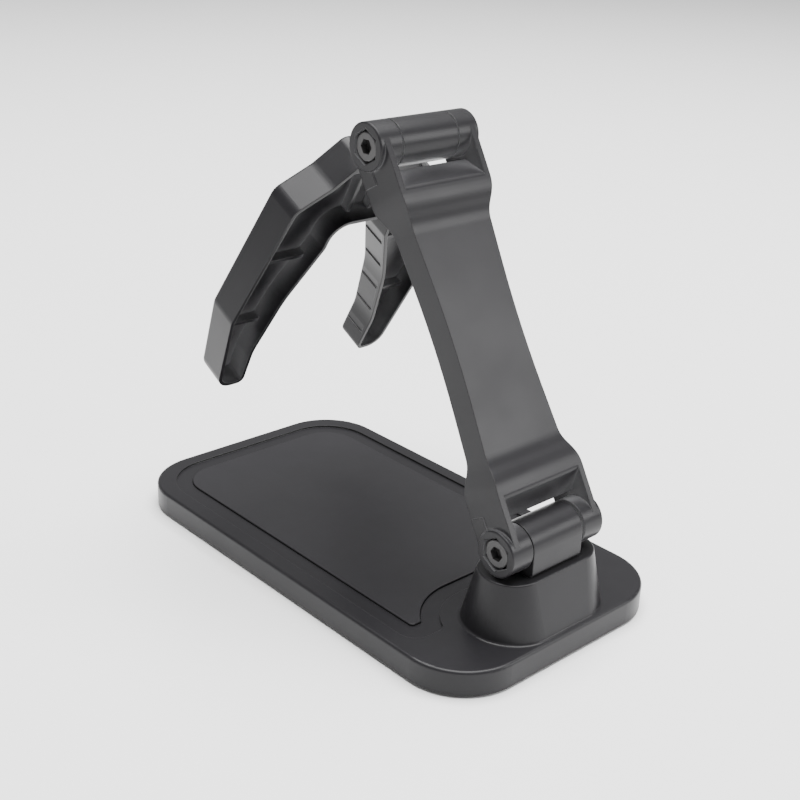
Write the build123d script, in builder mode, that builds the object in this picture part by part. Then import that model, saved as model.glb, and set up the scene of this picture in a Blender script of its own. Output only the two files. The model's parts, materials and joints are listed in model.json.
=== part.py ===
from build123d import *

import os
from math import cos, radians, sin

# Folding phone stand: a weighted base with a phone mat, a hinged arm and a two-jaw claw.
#
# Units are millimetres.  X runs along both hinge axes, +Y points from the pedestal over the mat,
# Z is up, and the origin is on the table under the middle of the base.

# ---------------------------------------------------------------- driving dimensions
base_length = 162.0
base_width = 90.0
base_height = 7.8
base_corner = 20.0
foot_gap = 0.8               # the rubber feet lift the shell off the table by this much
shell_wall = 2.4
top_edge_round = 1.0

rim_width = 5.5              # flat rim round the recess
recess_corner = 17.0         # far corners of the recess
recess_depth = 0.6
recess_near_y = -56.6        # tips of the recess each side of the pedestal
mat_near_y = -50.0
mat_inset = 5.5              # mat edge in from the recess edge
mat_thickness = 1.6
mat_play = 0.12
notch_half_width = 28.5      # recess notch round the pedestal
notch_half_depth = 17.0
notch_y = -62.5
tip_limit = 31.0              # inner corners of both outlines lie inside this x

pedestal_y = -64.9           # centre of its foot
pedestal_foot = (47.0, 28.8)
pedestal_foot_corner = 14.0
pedestal_top_y = -65.2       # centre of its top
pedestal_top_size = (40.4, 19.5)
pedestal_top_corner = 9.4
pedestal_rise = 17.4
pedestal_wall = 2.4
pedestal_foot_round = 0.8
pedestal_top_round = 0.5

hinge_radius = 6.95          # all hinge barrels
hinge_outer = 19.1           # half the width over the ears
ear_inner = 11.0
knuckle_left = -10.6
knuckle_right = 9.8
knuckle_step = 0.9           # the knuckle's shoulder stands this far above the pedestal
knuckle_foot_inset = 0.8     # and its foot is this much slimmer, front and rear
knuckle_chamfer = 0.35
socket_depth = 1.0           # the knuckle's foot sits this deep in the pedestal
socket_play = 0.1
claw_barrel_half = 10.5
lower_axis_y = -66.3
lower_axis_height = 33.1     # above the bottom edge of the shell
arm_length = 118.5           # hinge axis to hinge axis
arm_elevation = 59.9         # degrees above the mat
claw_tilt = 28.5             # degrees that the jaws swing forward of straight down

bolt_radius = 2.5            # M5
bolt_length = 30.0
bolt_head_radius = 4.25
bolt_head_height = 5.0
key_flats = 4.0
key_depth = 2.2
nut_flats = 8.0
nut_height = 3.6
nut_collar_radius = 3.6
nut_collar_height = 1.3
sleeve_radius = 3.5
running_clearance = 0.06     # bolt in sleeve, on the radius
washer_radius = 5.8
wide_washer_radius = 6.7     # beside the lower knuckle's left end
face_clearance = 0.05
head_recess_flats = 9.1
nut_recess_flats = 8.2
recess_floor = 13.6          # distance of both pocket floors from the middle plane

# arm section
arm_end_half = 6.95
arm_mid_half = 4.15
arm_wall = 2.0
plate_thickness = 2.2
end_half_width = 17.55
waist_half_width = 13.85
waist_corner = 13.11         # where the two waist lines would meet if they weren't rounded
shoulder_half_width = 15.25
shoulder = 19.0              # from each axis: where the deep end starts to slope
waist_start = 25.0           # from each axis: where the slim middle starts
side_round = 12.0
bend_round = 2.0
plan_shoulder = 17.0         # from each axis: where the plan view starts to narrow
plan_waist_start = 25.0
plan_round = 16.0
waist_round = 300.0
plate_bend = 14.6            # from each axis: where the rear plate dips
plate_end = 8.3              # from each axis: where the rear plate stops
plate_end_height = 1.0
stop_pad_thickness = 0.3
stop_pad_reach = 10.6
stop_pad_width = 5.2
arm_rib = 1.4
rib_inset = 0.8              # ribs stop this far inside the walls' front edge
rib_count = 5
rib_start = 30.0             # from each axis: the first cross rib
spine_start = 24.0           # from each axis: the end of the long rib
boss_chamfer = 0.35
weld = 0.3                   # joined features run this far into each other

# claw section
claw_back = 4.6              # rear rim of the jaws, in front of the hinge axis
claw_depth = 12.4            # at the hinge axis, less towards the tips
claw_front_tilt = 1.07       # degrees by which the front face closes on the rear rim
claw_wall = 1.2
claw_face = 4.2
claw_front_round = 1.2
claw_rib = 1.3
claw_rib_drop = 4.2          # ribs stop this far below the rear rim
claw_ribs = (                # (x, down the jaws) of the middle, and size: one half of the claw
    ((4.2, 24.0), (claw_rib, 22.0)),
    ((24.5, 50.0), (20.0, claw_rib)),
    ((30.2, 75.5), (14.0, claw_rib)),
)
claw_top = 10.4
mouth_top = 35.6
# right half of the claw, (x, down the jaws), from the neck round the tip to the mouth
claw_corners = (
    (0, claw_top), (10.5, claw_top), (19.2, 18.9), (30.6, 26.2), (38.8, 69.2), (34.4, 100.7),
    (24.3, 100.7), (24.9, 86.0), (20.3, 64.5), (12.0, 44.3), (11.3, mouth_top), (0, mouth_top),
)
claw_rounds = (4.0, 10.0, 5.0, 5.0, 6.0, 2.4, 20.0, 40.0, 3.0, 6.3)
grip_line = claw_corners[9:5:-1]
grip_steps = (44.5, 49.5, 60.5, 71.5, 82.5, 93.5)
grip_step_depth = 0.35
grip_border = 1.4            # smooth strip between the grip steps and the rear rim
neck_end = 14.6              # down the jaws from the hinge axis: the neck is solid above this
# neck in the claw's side view: (down the jaws, forward)
neck_outline = ((0, 6.9), (8.0, 13.0), (13.0, 13.2), (13.0, 5.0), (9.5, 5.0), (5.6, -3.9), (0, 0))

# inner hardware
cover_thickness = 1.8
cover_play = 0.15
foot_radius = 6.0
foot_thickness = 1.8
counterweight_size = (66.0, 112.0, 2.4)
counterweight_y = 12.0
cover_screw_radius = 1.3
cover_screw_head = 2.5
post_radius = 3.0
post_x = 37.3
post_rows = (-46.0, 6.0, 56.0)
knuckle_screw_radius = 2.0
knuckle_screw_head = 3.5
knuckle_screw_x = 5.6

# ---------------------------------------------------------------- derived places
shell_bottom = foot_gap
base_top = shell_bottom + base_height
pedestal_top = base_top + pedestal_rise
half_width = base_width / 2
half_length = base_length / 2
lower_axis_z = shell_bottom + lower_axis_height
elevation = radians(arm_elevation)
along = Vector(0, cos(elevation), sin(elevation))
rearward = Vector(0, -sin(elevation), cos(elevation))
lower_axis = Vector(0, lower_axis_y, lower_axis_z)
upper_axis = lower_axis + along * arm_length
arm_side = Plane(origin=lower_axis, x_dir=along, z_dir=(1, 0, 0))
arm_plan = Plane(origin=lower_axis, x_dir=along, z_dir=rearward)
tilt = radians(claw_tilt)
claw_front_dir = Vector(0, cos(tilt), sin(tilt))
claw_down_dir = Vector(0, sin(tilt), -cos(tilt))
claw_plan = Plane(origin=upper_axis, x_dir=(1, 0, 0), z_dir=claw_front_dir)
claw_side = Plane(origin=upper_axis, x_dir=claw_down_dir, z_dir=(1, 0, 0))
claw_front = claw_plan.offset(claw_back + claw_depth).rotated((-claw_front_tilt, 0, 0))
hollow_depth = claw_depth - claw_face - 1.0
knuckle_width = knuckle_right - knuckle_left
knuckle_foot_depth = 2 * (hinge_radius - knuckle_foot_inset)
cavity_top = base_top - recess_depth - 2.4
mat_floor = base_top - mat_thickness

os.makedirs("parts", exist_ok=True)


def save(builder, name):
    builder.part.label = name
    export_step(builder.part, f"parts/{name}.step")


def tray_outline(inset, near_y, near_corner):
    """Phone-shaped outline with a rounded notch round the pedestal, drawn in the open sketch."""
    half = half_width - rim_width - inset
    far_y = half_length - rim_width - inset
    middle = (far_y + near_y) / 2
    with Locations((0, middle)):
        RectangleRounded(2 * half, far_y - near_y, recess_corner - inset)
    with Locations((0, near_y + 30)):
        RectangleRounded(2 * half, 60, near_corner)
    with Locations((0, notch_y)):
        RectangleRounded(
            2 * (notch_half_width + inset),
            2 * (notch_half_depth + inset),
            notch_half_depth + inset - 0.2,
            mode=Mode.SUBTRACT,
        )


def soften_tips(sketch, near_y, radius):
    """Round the two inner corners where the notch meets the near edge."""
    tips = [v for v in sketch.vertices() if abs(v.Y - near_y) < 0.01 and abs(v.X) < tip_limit]
    fillet(tips, radius)


# ================================================================ base body
with BuildPart() as base_shell:
    with BuildSketch(Plane.XY.offset(shell_bottom)):
        RectangleRounded(base_width, base_length, base_corner)
    extrude(amount=base_height)
    fillet(base_shell.edges().group_by(Axis.Z)[-1], top_edge_round)
    # pedestal with a soft foot
    with BuildSketch(Plane.XY.offset(base_top - 0.01)):
        with Locations((0, pedestal_y)):
            RectangleRounded(*pedestal_foot, pedestal_foot_corner)
    with BuildSketch(Plane.XY.offset(pedestal_top)):
        with Locations((0, pedestal_top_y)):
            RectangleRounded(*pedestal_top_size, pedestal_top_corner)
    loft()
    foot_edges = [
        e
        for e in base_shell.edges()
        if abs(e.center().Z - base_top) < 0.05
        and abs(e.center().X) < pedestal_foot[0] / 2 + 0.5
        and abs(e.center().Y - pedestal_y) < pedestal_foot[1] / 2 + 0.5
    ]
    fillet(foot_edges, pedestal_foot_round)
    top_edges = base_shell.edges().group_by(Axis.Z)[-1]
    fillet(top_edges, pedestal_top_round)
    # recess in the top face and the pocket that holds the mat
    with BuildSketch(Plane.XY.offset(base_top)) as recess_sketch:
        tray_outline(0, recess_near_y, 6.0)
        soften_tips(recess_sketch, recess_near_y, 2.5)
    extrude(amount=-recess_depth, mode=Mode.SUBTRACT)
    with BuildSketch(Plane.XY.offset(base_top)) as pocket_sketch:
        tray_outline(mat_inset, mat_near_y, 1.4)
        soften_tips(pocket_sketch, mat_near_y, 0.6)
    extrude(amount=-mat_thickness, mode=Mode.SUBTRACT)
    # hollow underside, open at the bottom, continued up into the pedestal
    with BuildSketch(Plane.XY.offset(shell_bottom)):
        RectangleRounded(
            base_width - 2 * shell_wall,
            base_length - 2 * shell_wall,
            base_corner - shell_wall,
        )
    extrude(amount=cavity_top - shell_bottom, mode=Mode.SUBTRACT)
    with BuildSketch(Plane.XY.offset(cavity_top - 0.01)):
        with Locations((0, pedestal_y)):
            RectangleRounded(
                pedestal_foot[0] - 2 * pedestal_wall,
                pedestal_foot[1] - 2 * pedestal_wall,
                pedestal_foot_corner - pedestal_wall,
            )
    with BuildSketch(Plane.XY.offset(pedestal_top - 3.0)):
        with Locations((0, pedestal_top_y)):
            RectangleRounded(
                pedestal_top_size[0] - 2 * pedestal_wall,
                pedestal_top_size[1] - 2 * pedestal_wall,
                pedestal_top_corner - pedestal_wall,
            )
    loft(mode=Mode.SUBTRACT)
    # screw posts for the bottom cover
    with BuildSketch(Plane.XY.offset(shell_bottom + 0.2 + cover_thickness)):
        for row in post_rows:
            with Locations((-post_x, row), (post_x, row)):
                Circle(post_radius)
                Circle(cover_screw_radius, mode=Mode.SUBTRACT)
    extrude(until=Until.NEXT)
    with BuildSketch(Plane.XY.offset(cavity_top)):
        for row in post_rows:
            with Locations((-post_x, row), (post_x, row)):
                Circle(cover_screw_radius)
    extrude(amount=1.0, mode=Mode.SUBTRACT)
    # socket for the knuckle and its two screws
    with BuildSketch(Plane.XY.offset(pedestal_top)):
        with Locations(((knuckle_left + knuckle_right) / 2, lower_axis_y)):
            Rectangle(knuckle_width + socket_play, knuckle_foot_depth + socket_play)
    extrude(amount=-socket_depth, mode=Mode.SUBTRACT)
    with BuildSketch(Plane.XY.offset(pedestal_top)):
        with Locations((-knuckle_screw_x, lower_axis_y), (knuckle_screw_x, lower_axis_y)):
            Circle(knuckle_screw_radius)
    extrude(amount=-4.0, mode=Mode.SUBTRACT)
save(base_shell, "base_shell")

with BuildPart() as base_cover:
    cover_bottom = shell_bottom + 0.2
    with BuildSketch(Plane.XY.offset(cover_bottom)):
        RectangleRounded(
            base_width - 2 * (shell_wall + cover_play),
            base_length - 2 * (shell_wall + cover_play),
            base_corner - shell_wall - cover_play,
        )
    extrude(amount=cover_thickness)
    with BuildSketch(Plane.XY.offset(cover_bottom)):
        with GridLocations(60, 124, 2, 2):
            Circle(foot_radius + 0.1)
    extrude(amount=foot_thickness - cover_bottom, mode=Mode.SUBTRACT)
    for row in post_rows:
        with Locations((-post_x, row, cover_bottom), (post_x, row, cover_bottom)):
            Cylinder(
                cover_screw_head + 0.2, 1.2,
                align=(Align.CENTER, Align.CENTER, Align.MIN), mode=Mode.SUBTRACT,
            )
            Cylinder(
                cover_screw_radius + 0.15, cover_thickness,
                align=(Align.CENTER, Align.CENTER, Align.MIN), mode=Mode.SUBTRACT,
            )
save(base_cover, "base_cover")

with BuildPart() as counterweight:
    weight_bottom = cover_bottom + cover_thickness
    with BuildSketch(Plane.XY.offset(weight_bottom)):
        with Locations((0, counterweight_y)):
            RectangleRounded(counterweight_size[0], counterweight_size[1], 8.0)
    extrude(amount=counterweight_size[2])
save(counterweight, "counterweight_plate")

with BuildPart() as mat:
    with BuildSketch(Plane.XY.offset(mat_floor)) as mat_sketch:
        tray_outline(mat_inset + mat_play, mat_near_y + mat_play, 1.4)
        soften_tips(mat_sketch, mat_near_y + mat_play, 0.6)
    extrude(amount=mat_thickness)
    fillet(mat.edges().group_by(Axis.Z)[-1], 0.3)
save(mat, "phone_mat")

foot_names = ("left_rear", "left_front", "right_rear", "right_front")
foot_places = [(-30, -62), (-30, 62), (30, -62), (30, 62)]
for foot_name, (foot_x, foot_y) in zip(foot_names, foot_places):
    with BuildPart() as foot:
        with BuildSketch(Plane.XY):
            with Locations((foot_x, foot_y)):
                Circle(foot_radius)
        extrude(amount=foot_thickness)
        fillet(foot.edges().group_by(Axis.Z)[0], 0.3)
    save(foot, f"rubber_foot_{foot_name}")

with BuildPart() as cover_screws:
    screw_top = cavity_top + 1.0
    for row in post_rows:
        for side in (-1, 1):
            with Locations((side * post_x, row, cover_bottom + 0.1)):
                Cylinder(cover_screw_head, 1.1, align=(Align.CENTER, Align.CENTER, Align.MIN))
                Cylinder(
                    cover_screw_radius, screw_top - cover_bottom - 0.2,
                    align=(Align.CENTER, Align.CENTER, Align.MIN),
                )
                Box(
                    3.0, 0.6, 0.6,
                    align=(Align.CENTER, Align.CENTER, Align.MIN), mode=Mode.SUBTRACT,
                )
                Box(
                    0.6, 3.0, 0.6,
                    align=(Align.CENTER, Align.CENTER, Align.MIN), mode=Mode.SUBTRACT,
                )
save(cover_screws, "cover_screws")

with BuildPart() as knuckle:
    shoulder_z = pedestal_top + knuckle_step
    block_bottom = pedestal_top - socket_depth
    with BuildSketch(Plane.YZ.offset(knuckle_left)):
        with Locations((lower_axis_y, lower_axis_z)):
            Circle(hinge_radius)
        with Locations((lower_axis_y, (lower_axis_z + shoulder_z) / 2)):
            Rectangle(2 * hinge_radius, lower_axis_z - shoulder_z)
    extrude(amount=knuckle_width)
    chamfer(knuckle.edges().filter_by(Axis.X).group_by(Axis.Z)[0], knuckle_chamfer)
    with BuildSketch(Plane.XY.offset(block_bottom)):
        with Locations(((knuckle_left + knuckle_right) / 2, lower_axis_y)):
            Rectangle(knuckle_width, knuckle_foot_depth)
    extrude(amount=socket_depth + knuckle_step)
    with BuildSketch(Plane.YZ.offset(knuckle_left)):
        with Locations((lower_axis_y, lower_axis_z)):
            Circle(sleeve_radius)
    extrude(amount=knuckle_width, mode=Mode.SUBTRACT)
    with BuildSketch(Plane.XY.offset(block_bottom)):
        with Locations((-knuckle_screw_x, lower_axis_y), (knuckle_screw_x, lower_axis_y)):
            Circle(knuckle_screw_radius)
    extrude(amount=4.2, mode=Mode.SUBTRACT)
save(knuckle, "hinge_knuckle")

with BuildPart() as knuckle_screws:
    for side in (-1, 1):
        with Locations((side * knuckle_screw_x, lower_axis_y, pedestal_top - 3.0)):
            Cylinder(
                knuckle_screw_radius, 6.0, align=(Align.CENTER, Align.CENTER, Align.MIN)
            )
            Cylinder(
                knuckle_screw_head, 2.6, align=(Align.CENTER, Align.CENTER, Align.MAX)
            )
    for side in (-1, 1):
        with BuildSketch(Plane.XY.offset(pedestal_top - 5.6)):
            with Locations((side * knuckle_screw_x, lower_axis_y)):
                RegularPolygon(1.5, 6, major_radius=False)
        extrude(amount=1.6, mode=Mode.SUBTRACT)
save(knuckle_screws, "knuckle_screws")


# ================================================================ hinge hardware
def ring(outer, inner):
    """Ring section, drawn in the open sketch."""
    Circle(outer)
    Circle(inner, mode=Mode.SUBTRACT)


hinges = (
    ("lower", lower_axis, knuckle_left, knuckle_right, wide_washer_radius),
    ("upper", upper_axis, -claw_barrel_half, claw_barrel_half, washer_radius),
)
for hinge_name, axis_point, barrel_left, barrel_right, left_radius in hinges:
    across = Plane(origin=axis_point, x_dir=along, z_dir=(1, 0, 0))
    with BuildPart() as sleeve:
        with BuildSketch(across.offset(barrel_left)):
            ring(sleeve_radius, bolt_radius + running_clearance)
        extrude(amount=barrel_right - barrel_left)
    save(sleeve, f"{hinge_name}_hinge_sleeve")

    with BuildPart() as bolt:
        with BuildSketch(across.offset(-recess_floor)):
            Circle(bolt_radius)
        extrude(amount=bolt_length)
        chamfer(bolt.edges().group_by(Axis.X)[-1], 0.5)
        with BuildSketch(across.offset(-recess_floor)):
            Circle(bolt_head_radius)
        extrude(amount=-bolt_head_height)
        fillet(bolt.edges().group_by(Axis.X)[0], 0.5)
        with BuildSketch(across.offset(-recess_floor - bolt_head_height)):
            RegularPolygon(key_flats / 2, 6, major_radius=False)
        extrude(amount=key_depth, mode=Mode.SUBTRACT)
    save(bolt, f"{hinge_name}_hinge_bolt")

    with BuildPart() as nut:
        with BuildSketch(across.offset(recess_floor)):
            RegularPolygon(nut_flats / 2, 6, major_radius=False, rotation=30)
            Circle(bolt_radius, mode=Mode.SUBTRACT)
        extrude(amount=nut_height)
        with BuildSketch(across.offset(recess_floor + nut_height)):
            ring(nut_collar_radius, bolt_radius)
        extrude(amount=nut_collar_height)
        fillet(nut.edges().group_by(Axis.X)[-1].sort_by(SortBy.LENGTH)[-1], 0.4)
    save(nut, f"{hinge_name}_lock_nut")

    washers = (
        ("left", -ear_inner, barrel_left - face_clearance, left_radius),
        ("right", barrel_right + face_clearance, ear_inner, washer_radius),
    )
    for side_name, start, end, outer_radius in washers:
        with BuildPart() as washer:
            with BuildSketch(across.offset(start)):
                ring(outer_radius, bolt_radius + 0.05)
            extrude(amount=end - start)
        save(washer, f"{hinge_name}_washer_{side_name}")


# ================================================================ arm body
def side_corners(high, low):
    """Corners of one long edge in the side view: deep end, slim middle, deep end."""
    near = ((shoulder, high), (waist_start, low))
    return near + tuple((arm_length - u, v) for u, v in reversed(near))


def arm_edge():
    """Rear edge of the walls in the side view, from the lower axis to the upper one."""
    corners = ((0, arm_end_half), *side_corners(arm_end_half, arm_mid_half), (arm_length, arm_end_half))
    FilletPolyline(*corners, radius=side_round)


def plan_edges(inset, overrun):
    """Right half of the arm's waisted outline seen from the rear, drawn in the open line."""
    wide = end_half_width - inset
    near = ((plan_shoulder, wide), (plan_waist_start, shoulder_half_width - inset))
    far = tuple((arm_length - u, v) for u, v in reversed(near))
    middle = (arm_length / 2, waist_corner - inset)
    FilletPolyline(
        (-overrun, wide), *near, middle, *far, (arm_length + overrun, wide),
        radius=(plan_round, plan_round, waist_round, plan_round, plan_round),
    )
    Line((arm_length + overrun, wide), (arm_length + overrun, 0))
    Line((arm_length + overrun, 0), (-overrun, 0))
    Line((-overrun, 0), (-overrun, wide))


def plate_surface(drop):
    """Rear plate's line in the side view, lowered by drop: dips at both ends."""
    high = arm_end_half - drop
    low = arm_mid_half - drop
    tip = (plate_end + drop * 0.15, plate_end_height - drop * 0.75)
    bend = (plate_bend + drop * 0.4, high)
    far_tip = (arm_length - tip[0], tip[1])
    far_bend = (arm_length - bend[0], high)
    FilletPolyline(
        tip, bend, *side_corners(high, low), far_bend, far_tip,
        radius=(bend_round, *[side_round] * 4, bend_round),
    )
    return tip, far_tip


with BuildPart() as arm_plate:
    with BuildSketch(arm_side) as plate_section:
        with BuildLine():
            outer_start, outer_end = plate_surface(0)
            inner_start, inner_end = plate_surface(plate_thickness)
            Line(outer_start, inner_start)
            Line(outer_end, inner_end)
        make_face()
    extrude(amount=end_half_width + 1, both=True)
    with BuildSketch(arm_plan):
        with BuildLine():
            plan_edges(arm_wall / 2, 2)
        make_face()
        mirror(about=Plane.XZ)
    extrude(amount=12, both=True, mode=Mode.INTERSECT)

with BuildPart() as arm:
    with BuildSketch(arm_side):
        with BuildLine():
            arm_edge()
            Line((arm_length, arm_end_half), (arm_length, 0))
            Line((arm_length, 0), (0, 0))
            Line((0, 0), (0, arm_end_half))
        make_face()
        mirror(about=Plane.XZ)
        with Locations((0, 0), (arm_length, 0)):
            Circle(hinge_radius)
    extrude(amount=end_half_width + 1, both=True)
    with BuildSketch(arm_plan):
        with BuildLine():
            plan_edges(0, 12)
        make_face()
        mirror(about=Plane.XZ)
    extrude(amount=12, both=True, mode=Mode.INTERSECT)
    with BuildSketch(arm_plan):
        with BuildLine():
            plan_edges(arm_wall, 14)
        make_face()
        mirror(about=Plane.XZ)
    extrude(amount=12, both=True, mode=Mode.SUBTRACT)
    add(arm_plate.part)
    # cross ribs and one long rib behind the rear plate
    rib_height = 2 * arm_mid_half - plate_thickness - rib_inset
    rib_span = arm_length - 2 * rib_start
    for index in range(rib_count):
        station = rib_start + rib_span * index / (rib_count - 1)
        with BuildSketch(arm_side):
            with Locations((station, (rib_inset - plate_thickness) / 2)):
                Rectangle(arm_rib, rib_height)
        extrude(amount=waist_half_width - arm_wall + weld, both=True)
    with BuildSketch(arm_plan.offset(rib_inset - arm_mid_half)):
        with Locations((arm_length / 2, 0)):
            Rectangle(arm_length - 2 * spine_start, arm_rib)
    extrude(amount=rib_height)
    # hinge bosses, stop pads and pockets
    for side in (-1, 1):
        with BuildSketch(arm_side.offset(side * ear_inner)):
            with Locations((0, 0), (arm_length, 0)):
                Circle(hinge_radius)
        extrude(amount=side * (hinge_outer - ear_inner))
        with BuildSketch(arm_side.offset(side * (end_half_width - weld))):
            for centre, direction in ((0, 1), (arm_length, -1)):
                with Locations((centre + direction * stop_pad_reach / 2, stop_pad_width / 2 - arm_end_half)):
                    Rectangle(stop_pad_reach, stop_pad_width)
        extrude(amount=side * (stop_pad_thickness + weld))
    chamfer(
        [e for e in arm.edges().filter_by(GeomType.CIRCLE) if abs(abs(e.center().X) - hinge_outer) < 0.01],
        boss_chamfer,
    )
    with BuildSketch(arm_side.offset(-hinge_outer)):
        with Locations((0, 0), (arm_length, 0)):
            RegularPolygon(head_recess_flats / 2, 6, major_radius=False, rotation=30)
    extrude(amount=hinge_outer - recess_floor, mode=Mode.SUBTRACT)
    with BuildSketch(arm_side.offset(hinge_outer)):
        with Locations((0, 0), (arm_length, 0)):
            RegularPolygon(nut_recess_flats / 2, 6, major_radius=False, rotation=30)
    extrude(amount=recess_floor - hinge_outer, mode=Mode.SUBTRACT)
    with BuildSketch(arm_side.offset(-hinge_outer)):
        with Locations((0, 0), (arm_length, 0)):
            Circle(bolt_radius + 0.1)
    extrude(amount=2 * hinge_outer, mode=Mode.SUBTRACT)
save(arm, "arm")


# ================================================================ claw body
def claw_half_edges():
    """Right half of the claw in its own plane, drawn in the open line: x across, y down."""
    FilletPolyline(*claw_corners, radius=claw_rounds)
    Line(claw_corners[-1], claw_corners[0])


def grip_x(down):
    """Mouth surface of the right jaw at a distance down from the hinge axis."""
    for (x_low, y_low), (x_high, y_high) in zip(grip_line, grip_line[1:]):
        if y_low <= down <= y_high:
            return x_low + (x_high - x_low) * (down - y_low) / (y_high - y_low)
    return grip_line[-1][0]


with BuildPart() as claw:
    with BuildSketch(claw_plan.offset(claw_back)):
        with BuildLine():
            claw_half_edges()
        make_face()
        mirror(about=Plane.YZ)
    extrude(amount=claw_depth)
    split(bisect_by=claw_front, keep=Keep.BOTTOM)
    front_face = claw.faces().sort_by(Axis((0, 0, 0), tuple(claw_front_dir)))[-1]
    fillet(front_face.edges(), claw_front_round)
    # barrel and neck
    with BuildSketch(claw_side.offset(-claw_barrel_half)):
        Circle(hinge_radius)
        with BuildLine():
            Polyline(*neck_outline, close=True)
        make_face()
    extrude(amount=2 * claw_barrel_half)
    # hollow rear, leaving the side walls, the closed front face and the neck
    with BuildSketch(claw_plan.offset(claw_back)):
        with BuildLine():
            claw_half_edges()
        make_face()
        mirror(about=Plane.YZ)
        offset(amount=-claw_wall)
        Rectangle(60, 2 * neck_end, mode=Mode.SUBTRACT)
    extrude(amount=hollow_depth, mode=Mode.SUBTRACT)
    # ribs
    rib_back = claw_back + claw_rib_drop
    with BuildSketch(claw_plan.offset(rib_back)):
        for side in (-1, 1):
            for rib_place, rib_size in claw_ribs:
                with Locations((side * rib_place[0], rib_place[1])):
                    Rectangle(*rib_size)
    extrude(amount=hollow_depth - claw_rib_drop + weld)
    with BuildSketch(claw_side.offset(-claw_barrel_half)):
        Circle(sleeve_radius)
    extrude(amount=2 * claw_barrel_half, mode=Mode.SUBTRACT)
    # shallow steps down both grip faces
    with BuildSketch(claw_plan.offset(claw_back + grip_border)):
        for upper, lower in zip(grip_steps, grip_steps[1:]):
            high = grip_x(upper)
            low = grip_x(lower)
            with BuildLine():
                Polyline(
                    (high, upper), (low + grip_step_depth, lower), (low - 2, lower), (high - 2, upper),
                    close=True,
                )
            make_face()
        mirror(about=Plane.YZ)
    extrude(amount=claw_depth, mode=Mode.SUBTRACT)
save(claw, "claw")
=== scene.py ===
"""Folding phone stand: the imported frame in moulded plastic, on a studio floor under soft lights."""
import json

import bpy
from mathutils import Matrix, Vector

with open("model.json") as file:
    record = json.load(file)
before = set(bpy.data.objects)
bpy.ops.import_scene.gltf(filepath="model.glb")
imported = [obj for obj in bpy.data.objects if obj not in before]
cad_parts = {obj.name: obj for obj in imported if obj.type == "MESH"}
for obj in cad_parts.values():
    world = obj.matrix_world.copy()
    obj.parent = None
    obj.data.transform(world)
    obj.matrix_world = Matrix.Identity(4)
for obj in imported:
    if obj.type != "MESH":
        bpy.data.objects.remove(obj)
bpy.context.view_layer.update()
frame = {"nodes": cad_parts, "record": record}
MM = 0.001

# camera that matches the photograph's view: metres, directions and lens in mm
CAMERA_LOCATION = (-0.25072, -0.27385, 0.21321)
CAMERA_FORWARD = (0.62581, 0.67175, -0.39638)
CAMERA_RIGHT = (0.74178, -0.66966, 0.03625)
CAMERA_LENS = 57.73
SENSOR_WIDTH = 36.0

FLOOR_HALF = 3.0
FLOOR_TONE = 0.9
WORLD_STRENGTH = 0.5
STAND_MIDDLE = (0, -0.01, 0.06)
ARM_MIDDLE = (0, -0.03, 0.08)
# name, location, point it faces, side of the square in metres, power in watts
SOFT_BOXES = (
    ("top_light", (0.15, 0.0, 1.5), STAND_MIDDLE, 1.5, 84),
    ("rear_light", (0.75, -0.95, 0.55), ARM_MIDDLE, 0.5, 7.5),
    ("fill_light", (-0.75, -0.7, 0.3), STAND_MIDDLE, 0.8, 0.5),
)

# scales of the noise textures, per metre
MOTTLE_SCALE = 160
GLOSS_SCALE = 55
GRAIN_SCALE = 3200
OXIDE_SCALE = 420
OXIDE_GRAIN_SCALE = 2500
PLASTIC_IOR = 1.32
GRAIN_HEIGHT = 0.04 * MM
OXIDE_GRAIN_HEIGHT = 0.03 * MM
HOLLOW_REACH = 12 * MM         # how near a facing wall makes a surface count as inside a hollow, where painted bounce light makes it paler


# ---------------------------------------------------------------- camera, floor and lights
def add_camera():
    forward = Vector(CAMERA_FORWARD).normalized()
    right = Vector(CAMERA_RIGHT).normalized()
    up = right.cross(forward)
    data = bpy.data.cameras.new("camera")
    data.sensor_width = SENSOR_WIDTH
    data.lens = CAMERA_LENS
    data.clip_start = 0.01
    camera = bpy.data.objects.new("camera", data)
    bpy.context.scene.collection.objects.link(camera)
    rotation = Matrix((right, up, -forward)).transposed().to_4x4()
    camera.matrix_world = Matrix.Translation(Vector(CAMERA_LOCATION)) @ rotation
    bpy.context.scene.camera = camera


def add_floor():
    """A plain pale floor that reaches past every view."""
    corners = [(x * FLOOR_HALF, y * FLOOR_HALF, 0) for x, y in ((-1, -1), (1, -1), (1, 1), (-1, 1))]
    mesh = bpy.data.meshes.new("floor")
    mesh.from_pydata(corners, [], [(0, 1, 2, 3)])
    floor = bpy.data.objects.new("floor", mesh)
    bpy.context.scene.collection.objects.link(floor)
    material = bpy.data.materials.new("floor_paper")
    material.use_nodes = True
    shader = material.node_tree.nodes["Principled BSDF"]
    shader.inputs["Base Color"].default_value = (FLOOR_TONE, FLOOR_TONE, FLOOR_TONE, 1)
    shader.inputs["Roughness"].default_value = 0.9
    mesh.materials.append(material)


def add_area(name, location, target, size, power):
    """A square soft box at location that faces target, all in metres."""
    data = bpy.data.lights.new(name, "AREA")
    data.shape = "SQUARE"
    data.size = size
    data.energy = power
    light = bpy.data.objects.new(name, data)
    light.location = location
    direction = Vector(target) - Vector(location)
    light.rotation_euler = direction.to_track_quat("-Z", "Y").to_euler()
    bpy.context.scene.collection.objects.link(light)


def add_lights():
    for name, location, target, size, power in SOFT_BOXES:
        add_area(name, location, target, size, power)
    world = bpy.data.worlds.new("studio")
    world.use_nodes = True
    backdrop = world.node_tree.nodes["Background"]
    backdrop.inputs["Color"].default_value = (1, 1, 1, 1)
    backdrop.inputs["Strength"].default_value = WORLD_STRENGTH
    bpy.context.scene.world = world


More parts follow.
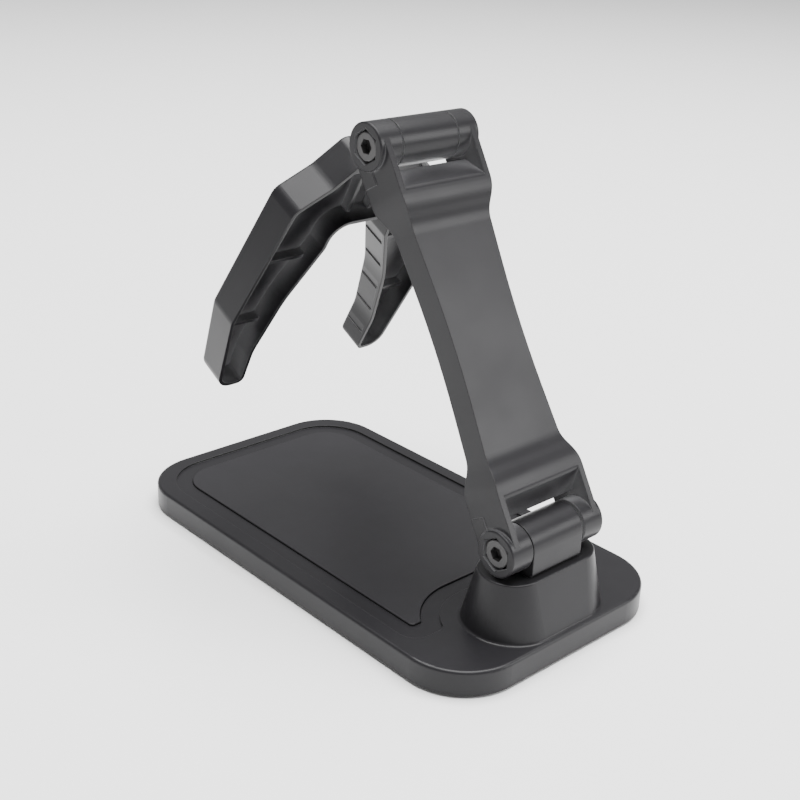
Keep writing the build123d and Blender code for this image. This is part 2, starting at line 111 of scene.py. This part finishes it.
# ---------------------------------------------------------------- materials
def new_material(name):
    material = bpy.data.materials.new(name)
    material.use_nodes = True
    return material, material.node_tree.nodes, material.node_tree.links


def noise(nodes, links, scale, detail):
    """Noise in the object's own coordinates, in metres, so that it keeps its real scale."""
    place = nodes.new("ShaderNodeTexCoord")
    texture = nodes.new("ShaderNodeTexNoise")
    texture.inputs["Scale"].default_value = scale
    texture.inputs["Detail"].default_value = detail
    links.new(place.outputs["Object"], texture.inputs["Vector"])
    return texture.outputs["Fac"]


def spread(nodes, links, value, low, high, from_low=0.3, from_high=0.7):
    """Maps a noise value to a range."""
    node = nodes.new("ShaderNodeMapRange")
    node.inputs["From Min"].default_value = from_low
    node.inputs["From Max"].default_value = from_high
    node.inputs["To Min"].default_value = low
    node.inputs["To Max"].default_value = high
    links.new(value, node.inputs["Value"])
    return node.outputs["Result"]


def mix(nodes, links, factor, low, high):
    """Mixes two colours by a factor; low and high are colours or sockets."""
    node = nodes.new("ShaderNodeMix")
    node.data_type = "RGBA"
    for name, colour in (("A", low), ("B", high)):
        if isinstance(colour, tuple):
            node.inputs[name].default_value = (*colour, 1)
        else:
            links.new(colour, node.inputs[name])
    links.new(factor, node.inputs["Factor"])
    return node.outputs["Result"]


def grain_bump(nodes, links, scale, strength, height, normal=None):
    """Fine bump of a noise scale and height in metres, laid over a normal where one is given."""
    bump = nodes.new("ShaderNodeBump")
    bump.inputs["Strength"].default_value = strength
    bump.inputs["Distance"].default_value = height
    links.new(noise(nodes, links, scale, 2), bump.inputs["Height"])
    if normal is not None:
        links.new(normal, bump.inputs["Normal"])
    return bump.outputs["Normal"]


def soft_edges(nodes, radius):
    """The surface normal, rounded over sharp edges by a radius in metres."""
    rounded = nodes.new("ShaderNodeBevel")
    rounded.samples = 6
    rounded.inputs["Radius"].default_value = radius
    return rounded.outputs["Normal"]


def edge_mask(nodes, links, rounded_normal):
    """How far the rounded normal leans away from the face: 0 on open faces, up to 1 on an edge."""
    face = nodes.new("ShaderNodeNewGeometry")
    lean = nodes.new("ShaderNodeVectorMath")
    lean.operation = "DOT_PRODUCT"
    links.new(rounded_normal, lean.inputs[0])
    links.new(face.outputs["True Normal"], lean.inputs[1])
    return spread(nodes, links, lean.outputs["Value"], 1.0, 0.0, 0.78, 0.985)


def tinted(tone, red, green, blue):
    return (tone * red, tone * green, tone * blue)


def moulded_plastic(name, tone, roughness, grain=1.0, edge=0.35, painted_bounce_tone=0.012):
    """Charcoal plastic: spark-eroded grain, faint flow mottle, a painted highlight that makes edges
    paler over edge mm, and painted bounce light that makes hollows paler."""
    material, nodes, links = new_material(name)
    shader = nodes["Principled BSDF"]
    shader.inputs["IOR"].default_value = PLASTIC_IOR
    mottle = noise(nodes, links, MOTTLE_SCALE, 3)
    dark = tinted(tone, 0.92, 0.88, 1.0)
    light = tinted(tone, 1.12, 1.07, 1.22)
    colour = mix(nodes, links, mottle, dark, light)
    rounded_normal = soft_edges(nodes, edge * MM)
    painted_edge_highlight = edge_mask(nodes, links, rounded_normal)
    # painted highlight: edges are mixed towards a paler tone, standing in for light caught on rounded
    # edges
    colour = mix(nodes, links, painted_edge_highlight, colour, tinted(tone, 2.6, 2.6, 2.65))
    # painted bounce light: ambient occlusion finds hollows, and their colour is mixed towards a paler
    # tone that stands in for light bounced into them
    shade = nodes.new("ShaderNodeAmbientOcclusion")
    shade.samples = 8
    shade.inputs["Distance"].default_value = HOLLOW_REACH
    painted_bounce_mask = spread(nodes, links, shade.outputs["AO"], 1.0, 0.0, 0.15, 0.75)
    colour = mix(nodes, links, painted_bounce_mask, colour, tinted(painted_bounce_tone, 1.0, 1.0, 1.03))
    links.new(colour, shader.inputs["Base Color"])
    gloss = noise(nodes, links, GLOSS_SCALE, 4)
    links.new(
        spread(nodes, links, gloss, roughness - 0.03, roughness + 0.03),
        shader.inputs["Roughness"],
    )
    links.new(
        grain_bump(nodes, links, GRAIN_SCALE, 0.22 * grain, GRAIN_HEIGHT, rounded_normal),
        shader.inputs["Normal"],
    )
    return material


def black_oxide(name):
    """Blackened screw steel with a faint brownish sheen and worn roughness."""
    material, nodes, links = new_material(name)
    shader = nodes["Principled BSDF"]
    shader.inputs["Metallic"].default_value = 0.6
    patch = noise(nodes, links, OXIDE_SCALE, 3)
    colour = mix(nodes, links, patch, (0.035, 0.035, 0.037), (0.085, 0.083, 0.082))
    links.new(colour, shader.inputs["Base Color"])
    links.new(spread(nodes, links, patch, 0.3, 0.5), shader.inputs["Roughness"])
    links.new(
        grain_bump(nodes, links, OXIDE_GRAIN_SCALE, 0.2, OXIDE_GRAIN_HEIGHT),
        shader.inputs["Normal"],
    )
    return material


def plate_steel(name):
    """Plain rolled steel with fine lengthwise lines."""
    material, nodes, links = new_material(name)
    shader = nodes["Principled BSDF"]
    shader.inputs["Metallic"].default_value = 1.0
    shader.inputs["Base Color"].default_value = (0.42, 0.43, 0.44, 1)
    place = nodes.new("ShaderNodeTexCoord")
    stretch = nodes.new("ShaderNodeMapping")
    stretch.inputs["Scale"].default_value = (900, 40, 900)
    texture = nodes.new("ShaderNodeTexNoise")
    texture.inputs["Scale"].default_value = 1.0
    links.new(place.outputs["Object"], stretch.inputs["Vector"])
    links.new(stretch.outputs["Vector"], texture.inputs["Vector"])
    links.new(spread(nodes, links, texture.outputs["Fac"], 0.25, 0.5), shader.inputs["Roughness"])
    return material


add_camera()
add_floor()
add_lights()

# one finish for each of the record's material slots
finishes = {
    "shell_plastic": moulded_plastic("shell_plastic", 0.011, 0.34),
    # the arm's hollows get a much paler painted bounce light
    "arm_plastic": moulded_plastic("arm_plastic", 0.011, 0.33, painted_bounce_tone=0.18),
    "mat_rubber": moulded_plastic("mat_rubber", 0.013, 0.45, grain=1.6),
    "foot_rubber": moulded_plastic("foot_rubber", 0.02, 0.75, grain=2.0),
    "bearing_plastic": moulded_plastic("bearing_plastic", 0.012, 0.35, grain=0.4),
    "screw_steel": black_oxide("screw_steel"),
    "plate_steel": plate_steel("plate_steel"),
}
for part in frame["record"]["subparts"]:
    for place in frame["nodes"][part["node"]].material_slots:
        place.material = finishes[part["material_slot"]]
